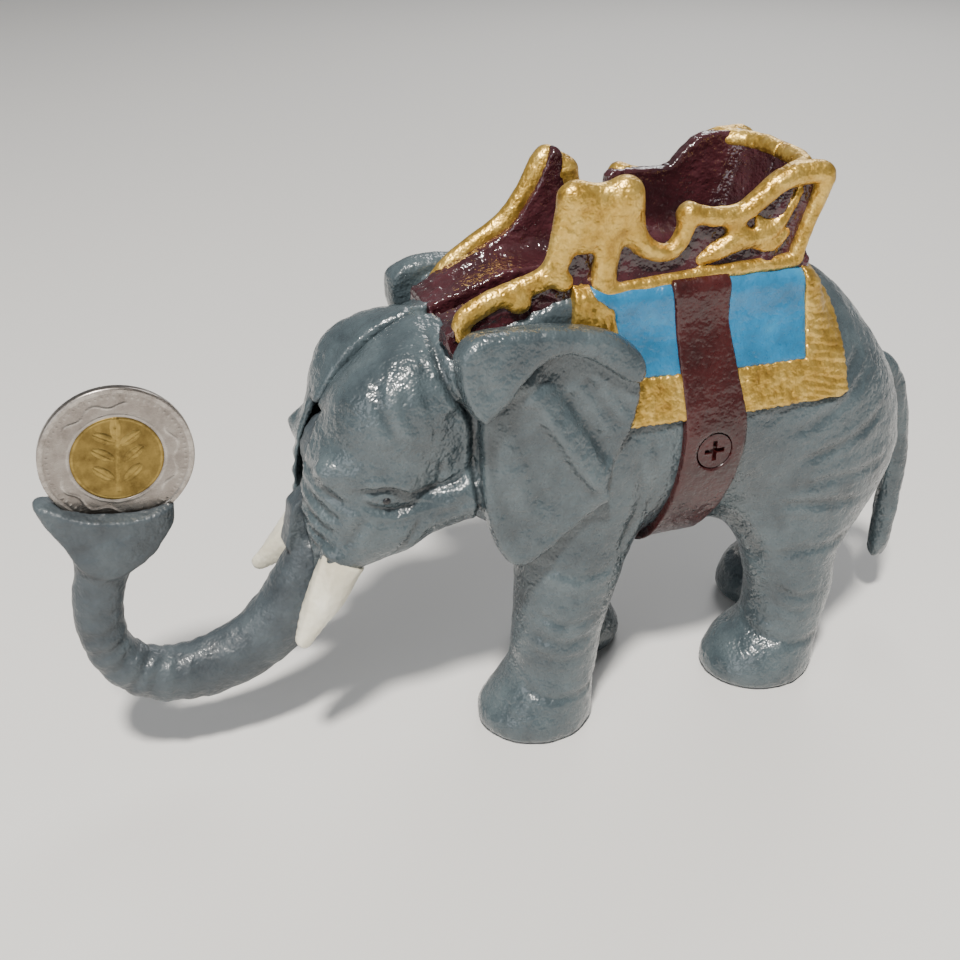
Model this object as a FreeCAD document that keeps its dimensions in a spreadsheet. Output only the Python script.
"""Figural mechanical coin bank: a cast iron elephant that carries an open howdah.

Row frame in millimetres: -X is the way the elephant faces, +Z is up, -Y is its left flank.
The origin is on the ground under the middle of the bank, and Y = 0 is the joint between the
two cast body halves.  Pulling the tail up pushes a rod forward, the rod turns the trunk about
its pin, and the coin held in the trunk rises over the head and slides into the howdah.
"""
import FreeCAD, Part
import math
import os
import Sketcher

V = FreeCAD.Vector
document = FreeCAD.newDocument("coin_bank")
sheet = document.addObject("Spreadsheet::Sheet", "sizes")

SIZES = {
    # cast walls and the cavity between them
    "wall": 3.0,
    "seam_gap": 0.02,
    "blanket_proud": 1.2,
    "blanket_front": 7.0,
    "blanket_rear": 62.0,
    "blanket_edge_z": 72.0,
    "strap_proud": 2.0,
    "strap_front": 23.6,
    "strap_rear": 36.4,
    # trunk pivot and the slot that the trunk swings in
    "pivot_x": -38.0,
    "pivot_z": 66.0,
    "trunk_swing": 95.0,
    "trunk_hub_radius": 9.2,
    "trunk_hub_clear": 9.7,
    "trunk_hub_waist": 3.0,
    "trunk_hub_from": 115.0,
    "trunk_hub_to": 215.0,
    "trunk_web": 2.5,
    "trunk_slot": 3.05,
    "trunk_slot_low": 30.0,
    "brow_slot_top": 75.5,
    "trunk_cheek_gap": 6.4,
    "trunk_tube_reach": 19.6,
    "trunk_sweep": 36.0,
    "trunk_base_circle": 4.2,
    "trunk_cam_start": 0.45,
    "pin_radius": 1.6,
    "pin_half_length": 11.0,
    "pin_fit": 0.03,
    "hub_fit": 0.06,
    "boss_radius": 4.6,
    "boss_reach": 14.6,
    # tail pivot
    "tail_x": 74.0,
    "tail_z": 62.0,
    "tail_swing": 45.0,
    "tail_hub_radius": 5.0,
    "tail_half_width": 3.0,
    "tail_slot": 3.35,
    "tail_sweep": 26.0,
    "tail_cam_start": 0.05,
    # push rod
    "rod_radius": 1.5,
    "rod_bend": 4.0,
    "rod_sidestep": 6.5,
    "rod_fit": 0.08,
    "rod_end_gap": 0.02,
    "guide_thick": 4.0,
    "guide_half_height": 4.0,
    "guide_reach": 19.6,
    # body screw, washer and nut
    "screw_x": 30.9,
    "screw_z": 64.4,
    "screw_radius": 2.0,
    "screw_hole": 2.2,
    "screw_head_radius": 3.7,
    "screw_head_height": 2.4,
    "screw_head_y": -20.4,
    "screw_tip_y": 22.4,
    "recess_width": 1.0,
    "recess_length": 4.4,
    "recess_depth": 1.3,
    "seat_radius": 7.0,
    "seat_inner": 14.5,
    "seat_outer": 20.5,
    "counterbore": 4.4,
    "washer_radius": 4.2,
    "washer_thick": 0.9,
    "washer_y": 17.6,
    "nut_side": 7.0,
    "nut_thick": 3.2,
    # coin and its slots
    "coin_radius": 14.0,
    "core_radius": 8.4,
    "coin_thick": 1.8,
    "coin_x": -81.2,
    "coin_z": 72.0,
    "grip_slot": 2.3,
    "grip_half_width": 4.2,
    "coin_slot": 4.8,
    "coin_slot_front": -24.0,
    "coin_slot_rear": 18.0,
    # howdah
    "howdah_outer": 16.0,
    "howdah_wall": 3.6,
    "howdah_floor": 97.6,
    # ears
    "ear_inner": 13.0,
    "ear_outer": 25.4,
}
for row, (alias, value) in enumerate(SIZES.items(), start=1):
    sheet.set("A%d" % row, alias)
    sheet.set("B%d" % row, str(value))
    sheet.setAlias("B%d" % row, alias)
document.recompute()


def size(alias):
    """A plain number from the sheet."""
    return float(sheet.get(alias))


def bind(thing, bindings):
    """Tie properties of one object to cells of the sheet."""
    for prop, formula in bindings.items():
        thing.setExpression(prop, formula)
    return thing


def add(kind, name, bindings=None):
    thing = document.addObject(kind, name)
    thing.Label = name
    return bind(thing, bindings or {})


ACROSS = FreeCAD.Rotation(V(1, 0, 0), 90)      # local Z to -Y, local Y to +Z


def place(thing, x=0.0, y=0.0, z=0.0, turn=None):
    thing.Placement = FreeCAD.Placement(V(x, y, z), turn or FreeCAD.Rotation())
    return thing


def fuse(name, things):
    thing = add("Part::MultiFuse", name)
    thing.Shapes = things
    return thing


def cut(name, base, tool):
    thing = add("Part::Cut", name)
    thing.Base = base
    thing.Tool = tool
    return thing


def cut_all(name, base, tools):
    """One cut after another; the last one carries the name."""
    result = base
    for index, tool in enumerate(tools, start=1):
        label = name if index == len(tools) else "%s_cut_%d" % (name, index)
        result = cut(label, result, tool)
    return result


def common(name, base, tool):
    thing = add("Part::Common", name)
    thing.Base = base
    thing.Tool = tool
    return thing


def box(name, low, high):
    """A block between two corners."""
    thing = add("Part::Box", name)
    thing.Length = high[0] - low[0]
    thing.Width = high[1] - low[1]
    thing.Height = high[2] - low[2]
    return place(thing, *low)


def drum(name, radius, x, z, y_low, y_high):
    """A cylinder along Y whose radius is a cell or a formula of the sheet."""
    thing = add("Part::Cylinder", name, {"Radius": radius})
    thing.Height = y_high - y_low
    return place(thing, x, y_high, z, ACROSS)


def ring(name, major, minor, position, turn):
    """One elliptical section of a loft, with its longer radius first."""
    thing = add("Part::Ellipse", name)
    thing.MajorRadius = max(major, minor + 0.001)
    thing.MinorRadius = minor
    thing.Placement = FreeCAD.Placement(V(*position), turn)
    return thing


def loft(name, rings, straight=False):
    """A solid through its rings, smooth or straight from one ring to the next."""
    thing = add("Part::Loft", name)
    thing.Sections = rings
    thing.Solid = True
    thing.Ruled = straight
    return thing


def extrude(name, wire, y_low, y_high):
    """A closed XZ outline made solid between two Y planes."""
    thing = add("Part::Feature", name)
    outline = wire.copy()
    outline.translate(V(0, y_low, 0))
    thing.Shape = Part.Face(outline).extrude(V(0, y_high - y_low, 0))
    return thing


# Cross sections along X: x, middle height, half width, half height.
TORSO = [
    (-21.0, 71.0, 12.0, 15.5),
    (-12.0, 69.0, 16.5, 22.5),
    (2.0, 67.0, 20.0, 27.0),
    (20.0, 66.0, 21.4, 28.6),
    (42.0, 66.0, 21.6, 28.8),
    (60.0, 65.0, 20.6, 28.6),
    (71.0, 60.5, 18.0, 24.6),
    (79.0, 55.5, 13.5, 18.6),
    (84.5, 52.0, 8.0, 11.0),
    (87.0, 50.5, 3.0, 4.2),
]
HEAD = [
    (-10.0, 72.0, 14.5, 17.0),
    (-22.0, 73.0, 16.5, 19.5),
    (-31.0, 70.5, 17.4, 20.5),
    (-39.0, 66.5, 15.8, 17.6),
    (-44.5, 62.0, 12.2, 14.6),
    (-47.6, 58.5, 8.0, 9.6),
    (-48.8, 57.0, 3.4, 4.2),
]
# Cross sections of a leg from the sole up: height, middle x, half length, half width, offset y.
FRONT_LEG_NEAR = [
    (0.0, -2.0, 12.4, 11.2, 12.6),
    (3.5, -2.0, 12.8, 11.5, 12.6),
    (9.0, -0.6, 11.4, 10.4, 12.7),
    (14.5, 1.6, 9.8, 9.3, 12.8),
    (22.0, 2.4, 9.9, 9.3, 12.8),
    (30.0, 3.8, 10.8, 9.6, 12.6),
    (40.0, 5.8, 12.2, 9.9, 12.0),
    (54.0, 8.0, 13.5, 9.6, 10.6),
]
FRONT_LEG_FAR = [
    (0.0, 16.6, 12.2, 11.2, 12.6),
    (3.5, 16.6, 12.6, 11.5, 12.6),
    (9.0, 15.8, 11.2, 10.4, 12.7),
    (14.5, 15.0, 9.8, 9.3, 12.8),
    (22.0, 13.2, 9.9, 9.3, 12.8),
    (30.0, 11.6, 10.8, 9.6, 12.6),
    (40.0, 10.4, 12.2, 9.9, 12.0),
    (54.0, 9.4, 13.5, 9.6, 10.6),
]
REAR_LEG = [
    (0.0, 53.4, 12.8, 11.3, 12.8),
    (3.5, 53.6, 13.2, 11.6, 12.8),
    (8.5, 55.4, 12.0, 10.6, 12.8),
    (13.5, 58.6, 9.7, 9.3, 12.9),
    (21.0, 59.6, 10.1, 9.4, 12.9),
    (30.0, 58.9, 11.4, 9.8, 12.7),
    (40.0, 60.4, 15.6, 10.2, 11.8),
    (54.0, 64.0, 17.4, 10.0, 10.2),
]
STRIDE = 19.5                 # how far the right hind foot stands behind the left one
STRIDE_LEAN = 0.016           # share of the stride that is lost for each millimetre of height


def half_section(name, x, z, half_width, half_height, side):
    """One half of an ellipse across X, closed by a straight edge along the seam."""
    thing = add("Part::Feature", name)
    seam = side * size("seam_gap") / 2
    top = V(x, seam, z + half_height)
    bottom = V(x, seam, z - half_height)
    angles = [math.radians(-90 + 22.5 * step) for step in range(9)]
    curve = Part.BSplineCurve()
    curve.interpolate([V(x, seam + side * half_width * math.cos(angle),
                         z + half_height * math.sin(angle)) for angle in angles])
    thing.Shape = Part.Wire([curve.toShape(), Part.LineSegment(top, bottom).toShape()])
    return thing


def body_loft(name, sections, side, inset):
    """Half of a barrel shape on one side of the seam, inset by the wall for its cavity."""
    rings = []
    for index, (x, z, half_width, half_height) in enumerate(sections):
        tall = half_height - inset
        wide = half_width - inset
        if min(tall, wide) < 1.0:
            continue
        rings.append(half_section("%s_%d" % (name, index), x, z, wide, tall, side))
    return loft(name, rings)


def leg(name, sections, side, stride=0.0):
    """One leg and foot, side -1 on the left and +1 on the right."""
    rings = []
    for index, (z, x, half_length, half_width, offset) in enumerate(sections):
        shift = stride * max(0.0, 1.0 - STRIDE_LEAN * z)
        position = (x + shift, side * offset, z)
        rings.append(ring("%s_%d" % (name, index), half_length, half_width, position,
                          FreeCAD.Rotation()))
    return loft(name, rings, straight=True)


def smooth_outline(points):
    """A closed smooth outline in the XZ plane."""
    curve = Part.BSplineCurve()
    curve.interpolate([V(x, 0, z) for x, z in points], PeriodicFlag=True)
    return Part.Wire([curve.toShape()])


def corner_outline(points):
    """A closed outline of straight edges in the XZ plane."""
    corners = [V(x, 0, z) for x, z in points]
    return Part.makePolygon(corners + corners[:1])


EAR = [(-18.6, 78.0), (-18.8, 66.0), (-17.8, 56.5), (-14.0, 46.6), (-8.5, 45.4), (-1.0, 49.4),
       (7.0, 58.4), (11.8, 69.0), (14.0, 79.0), (12.6, 86.0), (6.0, 92.2), (-6.0, 95.4),
       (-17.0, 95.6), (-22.4, 91.0), (-21.2, 84.0)]

HOWDAH_SIDE = [(-20.2, 91.5), (-20.0, 96.0), (-11.6, 101.3), (-1.0, 104.6), (2.2, 111.0),
               (2.6, 117.5), (6.4, 119.2), (13.0, 119.6), (16.4, 116.2), (16.0, 109.6),
               (19.4, 106.2), (23.4, 107.2), (26.2, 111.8), (36.4, 111.6), (41.6, 115.4),
               (46.5, 118.0), (54.5, 118.0), (56.2, 113.8), (52.8, 104.5), (49.8, 94.0),
               (30.0, 91.0), (0.0, 89.0)]


def swing_box(name, radius, x, z, half_width, start, sweep):
    """A flat fan about a pivot: the space that a lever sweeps, from start by sweep degrees."""
    thing = add("Part::Cylinder", name)
    thing.Radius = radius
    thing.Height = 2 * half_width
    thing.Angle = sweep
    turn = ACROSS.multiply(FreeCAD.Rotation(V(0, 0, 1), start))
    return place(thing, x, half_width, z, turn)


PIVOT = (size("pivot_x"), size("pivot_z"))
TAIL_PIVOT = (size("tail_x"), size("tail_z"))
TRUNK_SWING = math.radians(size("trunk_swing"))
TAIL_SWING = math.radians(size("tail_swing"))
ROD_TRAVEL = size("trunk_base_circle") * TRUNK_SWING
TAIL_BASE_CIRCLE = ROD_TRAVEL / TAIL_SWING
ROD_FRONT_Z = PIVOT[1] - size("trunk_base_circle")
ROD_REAR_Z = TAIL_PIVOT[1] + TAIL_BASE_CIRCLE
TRUNK_CAM_END = size("trunk_cam_start") + TRUNK_SWING
TAIL_CAM_END = size("tail_cam_start") + TAIL_SWING
ROD_FRONT_X = PIVOT[0] + size("trunk_base_circle") * TRUNK_CAM_END + size("rod_end_gap")
ROD_REAR_X = TAIL_PIVOT[0] - TAIL_BASE_CIRCLE * size("tail_cam_start") - size("rod_end_gap")
CAM_STEPS = 6
FRONT_GUIDE_X = 4.0
REAR_GUIDE_X = 48.0


def trunk_cam():
    """The heel that the rod pushes: an involute, so rod travel and swing keep one ratio."""
    points = []
    for step in range(CAM_STEPS + 1):
        unwound = size("trunk_cam_start") + TRUNK_SWING * step / CAM_STEPS
        angle = TRUNK_CAM_END - unwound
        radius = size("trunk_base_circle")
        points.append((PIVOT[0] + radius * (unwound * math.cos(angle) + math.sin(angle)),
                       PIVOT[1] + radius * (unwound * math.sin(angle) - math.cos(angle))))
    return points


def tail_cam():
    """The finger above the tail pin that pushes the rod, also an involute."""
    points = []
    for step in range(CAM_STEPS + 1):
        unwound = size("tail_cam_start") + TAIL_SWING * step / CAM_STEPS
        angle = unwound - size("tail_cam_start")
        radius = TAIL_BASE_CIRCLE
        points.append((TAIL_PIVOT[0] + radius * (math.sin(angle) - unwound * math.cos(angle)),
                       TAIL_PIVOT[1] + radius * (math.cos(angle) + unwound * math.sin(angle))))
    return points


def polar(centre, radius, degrees):
    angle = math.radians(degrees)
    return (centre[0] + radius * math.cos(angle), centre[1] + radius * math.sin(angle))


# ---------------------------------------------------------------------------------------------
# The cast body: shared solids first, then each half
# ---------------------------------------------------------------------------------------------
slot_reach = size("trunk_slot")
front_sweep = swing_box("front_sweep", size("trunk_sweep"), PIVOT[0], PIVOT[1],
                        size("trunk_cheek_gap"), 180, 110)
front_keep = drum("front_keep", "sizes.trunk_tube_reach", PIVOT[0], PIVOT[1], -8, 8)
trunk_root_space = cut("trunk_root_space", front_sweep, front_keep)
front_slot = box("front_slot", (-60, -slot_reach, size("trunk_slot_low")),
                 (PIVOT[0] + 6.0, slot_reach, PIVOT[1]))
brow_slot = box("brow_slot", (-60, -slot_reach, PIVOT[1]),
                (PIVOT[0], slot_reach, size("brow_slot_top")))
hub_space = drum("hub_space", "sizes.trunk_hub_clear", PIVOT[0], PIVOT[1],
                 -slot_reach, slot_reach)
tail_space = swing_box("tail_space", size("tail_sweep"), TAIL_PIVOT[0], TAIL_PIVOT[1],
                       size("tail_slot"), -28, 114)
slot_half = size("coin_slot") / 2
coin_slot = box("coin_slot", (size("coin_slot_front"), -slot_half, 84),
                (size("coin_slot_rear"), slot_half, 104))
cutaways = [trunk_root_space, front_slot, brow_slot, hub_space, tail_space, coin_slot]


def span(side, inner, outer):
    """Low and high Y of something that lies between two distances from the seam."""
    return (-outer, -inner) if side < 0 else (inner, outer)


def tusk(name, side):
    root = V(-42.5, side * 11.5, 51.0)
    tip = V(-53.0, side * 14.0, 32.6)
    thing = add("Part::Cone", name)
    thing.Radius1 = 4.4
    thing.Radius2 = 1.9
    thing.Height = (tip - root).Length
    thing.Placement = FreeCAD.Placement(root, FreeCAD.Rotation(V(0, 0, 1), tip - root))
    return thing


def howdah_half(name, side):
    """Side wall, floor and half of the back wall of the open howdah."""
    low, high = span(side, size("howdah_outer") - size("howdah_wall"), size("howdah_outer"))
    wall_plate = extrude(name + "_wall", corner_outline(HOWDAH_SIDE), low, high)
    low, high = span(side, size("seam_gap") / 2, size("howdah_outer") - 0.5)
    floor = extrude(name + "_floor", corner_outline(
        [(-19.5, 91.0), (-19.5, 92.6), (-4.0, size("howdah_floor")),
         (51.0, size("howdah_floor")), (50.0, 90.0), (0.0, 88.0)]), low, high)
    back = extrude(name + "_back", corner_outline(
        [(46.6, 93.0), (50.2, 104.5), (52.0, 117.8), (56.0, 117.8), (56.0, 113.4),
         (53.4, 104.5), (50.4, 93.0)]), low, high)
    return [wall_plate, floor, back]


def bosses(name, side):
    """Cast bosses and rod guides inside one half."""
    half = size("guide_half_height")
    low, high = span(side, size("trunk_slot") + 0.05, size("boss_reach"))
    trunk_boss = drum(name + "_trunk_boss", "sizes.boss_radius", PIVOT[0], PIVOT[1], low, high)
    low, high = span(side, size("tail_slot"), size("boss_reach"))
    tail_boss = drum(name + "_tail_boss", "sizes.boss_radius", TAIL_PIVOT[0], TAIL_PIVOT[1],
                     low, high)
    low, high = span(side, size("seam_gap") / 2, size("seat_outer"))
    screw_boss = drum(name + "_screw_boss", "sizes.boss_radius", size("screw_x"),
                      size("screw_z"), low, high)
    low, high = span(side, size("seat_inner"), size("seat_outer"))
    screw_seat = drum(name + "_screw_seat", "sizes.seat_radius", size("screw_x"),
                      size("screw_z"), low, high)
    low, high = span(side, size("seam_gap") / 2, size("guide_reach"))
    guide = box(name + "_rear_guide", (REAR_GUIDE_X, low, ROD_REAR_Z - half),
                (REAR_GUIDE_X + size("guide_thick"), high, ROD_REAR_Z + half))
    parts = [trunk_boss, tail_boss, screw_boss, screw_seat, guide]
    if side > 0:
        parts.append(box(name + "_front_guide",
                         (FRONT_GUIDE_X, size("rod_sidestep") - 3.4, ROD_REAR_Z - half),
                         (FRONT_GUIDE_X + size("guide_thick"), 19.0, ROD_REAR_Z + half)))
    return parts


def bores(name, side):
    """Pin sockets, rod guide holes, the screw hole and its head or nut seat."""
    low, high = span(side, 0.0, size("pin_half_length") + 0.1)
    pin_hole = "sizes.pin_radius + sizes.pin_fit"
    things = [
        drum(name + "_trunk_pin_hole", pin_hole, PIVOT[0], PIVOT[1], low, high),
        drum(name + "_tail_pin_hole", pin_hole, TAIL_PIVOT[0], TAIL_PIVOT[1], low, high),
    ]
    rod_hole = add("Part::Cylinder", name + "_rear_rod_hole",
                   {"Radius": "sizes.rod_radius + sizes.rod_fit"})
    rod_hole.Height = size("guide_thick") + 6.0
    along_x = FreeCAD.Rotation(V(0, 1, 0), 90)
    things.append(place(rod_hole, REAR_GUIDE_X - 3.0, 0, ROD_REAR_Z, along_x))
    if side > 0:
        rod_hole = add("Part::Cylinder", name + "_front_rod_hole",
                       {"Radius": "sizes.rod_radius + sizes.rod_fit"})
        rod_hole.Height = size("guide_thick") + 6.0
        things.append(place(rod_hole, FRONT_GUIDE_X - 3.0, size("rod_sidestep"), ROD_REAR_Z,
                            along_x))
    things.append(drum(name + "_screw_hole", "sizes.screw_hole", size("screw_x"),
                       size("screw_z"), -30 if side < 0 else 0, 0 if side < 0 else 30))
    if side < 0:
        things.append(drum(name + "_counterbore", "sizes.counterbore", size("screw_x"),
                           size("screw_z"), -30, size("screw_head_y")))
    else:
        half = size("nut_side") / 2 + 0.5
        things.append(drum(name + "_washer_seat", "sizes.washer_radius + 0.8", size("screw_x"),
                           size("screw_z"), size("washer_y"), 30))
        things.append(box(name + "_nut_seat",
                          (size("screw_x") - half, size("washer_y"), size("screw_z") - half),
                          (size("screw_x") + half, 30, size("screw_z") + half)))
    return things


def shell(name, side):
    """Hollow barrel and head of one half, with the raised blanket and girth strap."""
    torso = body_loft(name + "_torso", TORSO, side, 0.0)
    head = body_loft(name + "_head", HEAD, side, 0.0)
    blanket_form = body_loft(name + "_blanket_form", TORSO, side, -size("blanket_proud"))
    strap_form = body_loft(name + "_strap_form", TORSO, side, -size("strap_proud"))
    blanket = common(name + "_blanket", blanket_form,
                     box(name + "_blanket_limits",
                         (size("blanket_front"), -40, size("blanket_edge_z")),
                         (size("blanket_rear"), 40, 110)))
    strap = common(name + "_strap", strap_form,
                   box(name + "_strap_limits", (size("strap_front"), -40, 20),
                       (size("strap_rear"), 40, 110)))
    low, high = span(side, size("ear_inner"), size("ear_outer"))
    ear = extrude(name + "_ear", smooth_outline(EAR), low, high)
    solid = fuse(name + "_solid", [torso, head, blanket, strap, ear])
    cavity = fuse(name + "_cavity", [
        body_loft(name + "_torso_cavity", TORSO, side, size("wall")),
        body_loft(name + "_head_cavity", HEAD, side, size("wall"))])
    return cut(name + "_shell", solid, cavity)


def body_half(name, side, front_sections, stride):
    """One cast half: shell, legs, ear, tusk, howdah wall, bosses and bores."""
    outside = [leg(name + "_front_leg", front_sections, side),
               leg(name + "_rear_leg", REAR_LEG, side, stride), tusk(name + "_tusk", side)]
    outside = outside + howdah_half(name + "_howdah", side) + bosses(name, side)
    whole = fuse(name + "_whole", [shell(name, side)] + outside)
    return cut_all(name, whole, cutaways + bores(name, side))


left_half = body_half("left_body_half", -1, FRONT_LEG_NEAR, 0.0)
right_half = body_half("right_body_half", 1, FRONT_LEG_FAR, STRIDE)


# ---------------------------------------------------------------------------------------------
# Trunk: tube, coin grip, web, hub and cam heel in one casting
# ---------------------------------------------------------------------------------------------
# Middle line of the tube from the grip to the root: x, z, direction in degrees, half height,
# half width.
TRUNK = [
    (-84.6, 55.0, -100.0, 6.2, 4.2),
    (-86.6, 50.0, -108.0, 5.3, 4.4),
    (-88.6, 43.5, -102.0, 4.9, 4.5),
    (-89.2, 36.5, -86.0, 4.6, 4.5),
    (-87.9, 30.2, -66.0, 4.6, 4.5),
    (-84.0, 24.8, -42.0, 5.2, 4.7),
    (-77.8, 21.6, -12.0, 5.9, 5.0),
    (-71.0, 21.4, 8.0, 6.5, 5.2),
    (-64.0, 23.0, 22.0, 6.7, 5.5),
    (-57.6, 26.6, 38.0, 6.8, 5.7),
    (-52.2, 32.2, 54.0, 6.8, 5.9),
    (-48.6, 38.6, 64.0, 6.5, 5.9),
    (-46.2, 44.4, 68.0, 6.0, 5.6),
]
GRIP = [(-91.6, 52.0), (-95.2, 60.0), (-97.4, 64.9), (-90.6, 63.0), (-85.0, 61.4), (-79.0, 60.6),
        (-72.2, 60.2), (-73.0, 56.0), (-78.0, 51.6)]


def trunk_tube():
    rings = []
    for index, (x, z, heading, half_height, half_width) in enumerate(TRUNK):
        angle = math.radians(heading)
        normal = V(math.cos(angle), 0, math.sin(angle))
        upward = V(-math.sin(angle), 0, math.cos(angle))
        turn = FreeCAD.Rotation(upward, normal.cross(upward), normal, "ZXY")
        rings.append(ring("trunk_%d" % index, half_height, half_width, (x, 0, z), turn))
    return loft("trunk_tube", rings)


def trunk_web():
    """Flat web and hub: wide towards the brow, waisted where the rod passes below the pin."""
    web = size("trunk_web")
    first = size("trunk_hub_from")
    step = (size("trunk_hub_to") - first) / 5
    arc = [polar(PIVOT, size("trunk_hub_radius"), first + step * index) for index in range(6)]
    waist = [polar(PIVOT, size("trunk_hub_waist"), angle) for angle in (33, 60, 90)]
    outline = [(-51.6, 46.6), (-45.0, 38.5), (-41.0, 44.6), (-35.0, 55.6)]
    outline = outline + list(reversed(trunk_cam())) + waist + arc
    return extrude("trunk_web", corner_outline(outline), -web, web)


grip = extrude("trunk_grip", corner_outline(GRIP), -size("grip_half_width"),
               size("grip_half_width"))
trunk_solid = fuse("trunk_solid", [trunk_tube(), grip, trunk_web()])
trunk_pin_bore = drum("trunk_pin_bore", "sizes.pin_radius + sizes.hub_fit", PIVOT[0], PIVOT[1],
                      -8, 8)
coin_groove = drum("coin_groove", "sizes.coin_radius + 0.05", size("coin_x"), size("coin_z"),
                   -size("grip_slot") / 2, size("grip_slot") / 2)
trunk = cut("trunk", trunk_solid, fuse("trunk_tools", [trunk_pin_bore, coin_groove]))


# ---------------------------------------------------------------------------------------------
# Tail: a lever with a finger inside the rump
# ---------------------------------------------------------------------------------------------
def tail_outline():
    hub_low = [polar(TAIL_PIVOT, size("tail_hub_radius"), angle) for angle in (-60, -110, -160)]
    hub_back = [polar(TAIL_PIVOT, size("tail_hub_radius"), angle) for angle in (160, 125, 94)]
    finger = tail_cam()
    last = finger[-1]
    return (hub_low + hub_back + finger + [(last[0] + 1.6, last[1] - 0.4), (78.6, 68.0)]
            + [(85.0, 69.0), (90.3, 63.3), (94.6, 55.1), (96.8, 46.8), (97.4, 38.7), (97.4, 30.4),
               (97.4, 21.9), (96.8, 15.0), (95.0, 12.6), (92.0, 13.6), (91.0, 18.0),
               (91.4, 25.0), (92.2, 32.0), (92.3, 39.7), (91.4, 49.0), (88.9, 57.0)])


tail_solid = extrude("tail_solid", corner_outline(tail_outline()), -size("tail_half_width"),
                     size("tail_half_width"))
tail_pin_bore = drum("tail_pin_bore", "sizes.pin_radius + sizes.hub_fit", TAIL_PIVOT[0],
                     TAIL_PIVOT[1], -8, 8)
tail = cut("tail", tail_solid, tail_pin_bore)


# ---------------------------------------------------------------------------------------------
# Push rod: one bent wire, straight where it runs in its guides
# ---------------------------------------------------------------------------------------------
def push_rod():
    """Straight runs joined by tangent arcs, swept with a round section."""
    aside = size("rod_sidestep")
    points = [V(ROD_FRONT_X, 0, ROD_FRONT_Z), V(-25.2, 0, ROD_FRONT_Z), V(-18.6, aside, ROD_REAR_Z),
              V(27.0, aside, ROD_REAR_Z), V(35.0, 0, ROD_REAR_Z), V(ROD_REAR_X, 0, ROD_REAR_Z)]
    edges = []
    start = points[0]
    for before, corner, after in zip(points, points[1:], points[2:]):
        inward = (corner - before).normalize()
        outward = (after - corner).normalize()
        turn = inward.getAngle(outward)
        shorter = min((corner - before).Length, (after - corner).Length)
        trim = min(0.45 * shorter, size("rod_bend") * math.tan(turn / 2))
        first = corner - inward * trim
        last = corner + outward * trim
        bisector = (outward - inward).normalize()
        radius = trim / math.tan(turn / 2)
        middle = corner + bisector * (radius / math.cos(turn / 2) - radius)
        edges.append(Part.LineSegment(start, first).toShape())
        edges.append(Part.Arc(first, middle, last).toShape())
        start = last
    edges.append(Part.LineSegment(start, points[-1]).toShape())
    path = Part.Wire(edges)
    section = Part.Wire([Part.makeCircle(size("rod_radius"), points[0], V(1, 0, 0))])
    thing = add("Part::Feature", "push_rod")
    thing.Shape = path.makePipeShell([section], True, False)
    print("push rod volume against section times length",
          round(thing.Shape.Volume, 1),
          round(math.pi * size("rod_radius") ** 2 * path.Length, 1))
    return thing


rod = push_rod()


# ---------------------------------------------------------------------------------------------
# Hardware as sketched bodies
# ---------------------------------------------------------------------------------------------
def plane_of(body, role):
    for feature in body.Origin.OriginFeatures:
        if feature.Role == role:
            return feature
    raise RuntimeError("no plane " + role)


def sketch_on(body, name, role="XZ_Plane"):
    sketch = body.newObject("Sketcher::SketchObject", name)
    sketch.AttachmentSupport = [(plane_of(body, role), "")]
    sketch.MapMode = "FlatFace"
    return sketch


def circle_in(sketch, radius):
    """A circle about the sketch origin with its radius tied to the sheet."""
    index = sketch.addGeometry(Part.Circle(V(0, 0, 0), V(0, 0, 1), 1.0), False)
    sketch.addConstraint(Sketcher.Constraint("Coincident", index, 3, -1, 1))
    number = sketch.addConstraint(Sketcher.Constraint("Radius", index, 1.0))
    sketch.setExpression("Constraints[%d]" % number, radius)
    return index


def rectangle_in(sketch, width, height):
    """A rectangle centred on the sketch origin with both sides tied to the sheet."""
    corners = [V(-1, -1, 0), V(1, -1, 0), V(1, 1, 0), V(-1, 1, 0)]
    for index in range(4):
        sketch.addGeometry(Part.LineSegment(corners[index], corners[(index + 1) % 4]), False)
    for index in range(4):
        sketch.addConstraint(Sketcher.Constraint("Coincident", index, 2, (index + 1) % 4, 1))
    for index in (0, 2):
        sketch.addConstraint(Sketcher.Constraint("Horizontal", index))
    for index in (1, 3):
        sketch.addConstraint(Sketcher.Constraint("Vertical", index))
    sketch.addConstraint(Sketcher.Constraint("Symmetric", 0, 1, 2, 1, -1, 1))
    across = sketch.addConstraint(Sketcher.Constraint("DistanceX", 0, 1, 0, 2, 2.0))
    upward = sketch.addConstraint(Sketcher.Constraint("DistanceY", 1, 1, 1, 2, 2.0))
    sketch.setExpression("Constraints[%d]" % across, width)
    sketch.setExpression("Constraints[%d]" % upward, height)


def pad(body, name, sketch, length, reverse=False):
    feature = body.newObject("PartDesign::Pad", name)
    feature.Profile = sketch
    feature.Reversed = reverse
    feature.setExpression("Length", length)
    return feature


def pocket(body, name, sketch, length, reverse=False):
    feature = body.newObject("PartDesign::Pocket", name)
    feature.Profile = sketch
    feature.Reversed = reverse
    feature.setExpression("Length", length)
    return feature


def disc_body(name, radius, length, position, bore=None):
    """A round plate or pin along +Y that starts at its position."""
    body = add("PartDesign::Body", name)
    outline = sketch_on(body, name + "_outline")
    circle_in(outline, radius)
    if bore:
        circle_in(outline, bore)
    pad(body, name + "_pad", outline, length, reverse=True)
    body.Placement = FreeCAD.Placement(V(*position), FreeCAD.Rotation())
    return body


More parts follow.
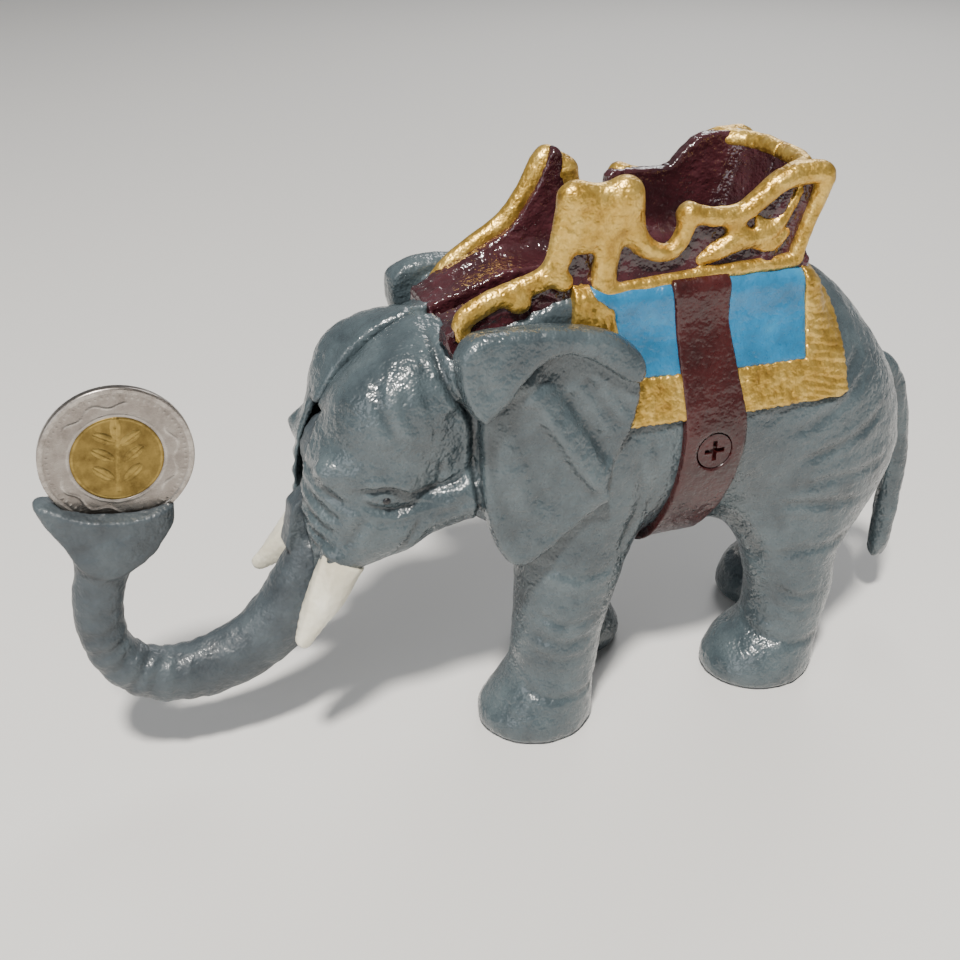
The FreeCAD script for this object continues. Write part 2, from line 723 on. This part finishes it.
trunk_pin = disc_body("trunk_pivot_pin", "sizes.pin_radius", "2 * sizes.pin_half_length",
                      (PIVOT[0], -size("pin_half_length"), PIVOT[1]))
tail_pin = disc_body("tail_pivot_pin", "sizes.pin_radius", "2 * sizes.pin_half_length",
                     (TAIL_PIVOT[0], -size("pin_half_length"), TAIL_PIVOT[1]))
coin_ring = disc_body("coin_ring", "sizes.coin_radius", "sizes.coin_thick",
                      (size("coin_x"), -size("coin_thick") / 2, size("coin_z")),
                      bore="sizes.core_radius")
coin_core = disc_body("coin_core", "sizes.core_radius - 0.01", "sizes.coin_thick",
                      (size("coin_x"), -size("coin_thick") / 2, size("coin_z")))
washer = disc_body("lock_washer", "sizes.washer_radius", "sizes.washer_thick",
                   (size("screw_x"), size("washer_y"), size("screw_z")),
                   bore="sizes.screw_radius + 0.15")


def body_screw():
    """Round head machine screw along +Y with a cross recess in its head."""
    body = add("PartDesign::Body", "body_screw")
    head_sketch = sketch_on(body, "head_outline")
    circle_in(head_sketch, "sizes.screw_head_radius")
    pad(body, "head_pad", head_sketch, "sizes.screw_head_height")
    shank_sketch = sketch_on(body, "shank_outline")
    circle_in(shank_sketch, "sizes.screw_radius")
    pad(body, "shank_pad", shank_sketch, "sizes.screw_tip_y - sizes.screw_head_y", reverse=True)
    solid_volume = None
    for index, (width, height) in enumerate([("sizes.recess_length", "sizes.recess_width"),
                                             ("sizes.recess_width", "sizes.recess_length")]):
        recess_sketch = sketch_on(body, "recess_outline_%d" % index)
        recess_sketch.AttachmentOffset = FreeCAD.Placement(
            V(0, 0, size("screw_head_height")), FreeCAD.Rotation())
        rectangle_in(recess_sketch, width, height)
        recess = pocket(body, "recess_%d" % index, recess_sketch, "sizes.recess_depth")
        document.recompute()
        if solid_volume is not None and recess.Shape.Volume >= solid_volume:
            raise RuntimeError("the recess cuts nothing")
        solid_volume = recess.Shape.Volume
    body.Placement = FreeCAD.Placement(
        V(size("screw_x"), size("screw_head_y"), size("screw_z")), FreeCAD.Rotation())
    return body


def square_nut():
    body = add("PartDesign::Body", "square_nut")
    outline = sketch_on(body, "nut_outline")
    rectangle_in(outline, "sizes.nut_side", "sizes.nut_side")
    pad(body, "nut_pad", outline, "sizes.nut_thick", reverse=True)
    hole = sketch_on(body, "nut_hole_outline")
    circle_in(hole, "sizes.screw_radius + 0.02")
    document.recompute()
    solid_volume = body.Shape.Volume
    pocket(body, "nut_hole", hole, "sizes.nut_thick + 1", reverse=False)
    document.recompute()
    if body.Shape.Volume >= solid_volume:
        raise RuntimeError("the nut hole cuts nothing")
    body.Placement = FreeCAD.Placement(
        V(size("screw_x"), size("washer_y") + size("washer_thick"), size("screw_z")),
        FreeCAD.Rotation())
    return body


screw = body_screw()
nut = square_nut()

# ---------------------------------------------------------------------------------------------
# Check everything, then write one file per piece
# ---------------------------------------------------------------------------------------------
document.recompute()
NODES = [left_half, right_half, trunk, tail, rod, trunk_pin, tail_pin, screw, washer, nut,
         coin_ring, coin_core]
for thing in document.Objects:
    if "Invalid" in thing.State or "Error" in thing.State:
        raise RuntimeError("%s failed: %s" % (thing.Label, thing.State))
os.makedirs("parts", exist_ok=True)
for node in NODES:
    shape = node.Shape
    if shape.isNull() or not shape.isValid():
        raise RuntimeError("%s has a bad shape" % node.Label)
    bound = shape.BoundBox
    print("%-18s solids %d volume %9.1f  x %7.2f %7.2f  y %7.2f %7.2f  z %7.2f %7.2f" % (
        node.Label, len(shape.Solids), shape.Volume, bound.XMin, bound.XMax, bound.YMin,
        bound.YMax, bound.ZMin, bound.ZMax))
    shape.exportStep("parts/%s.step" % node.Label)
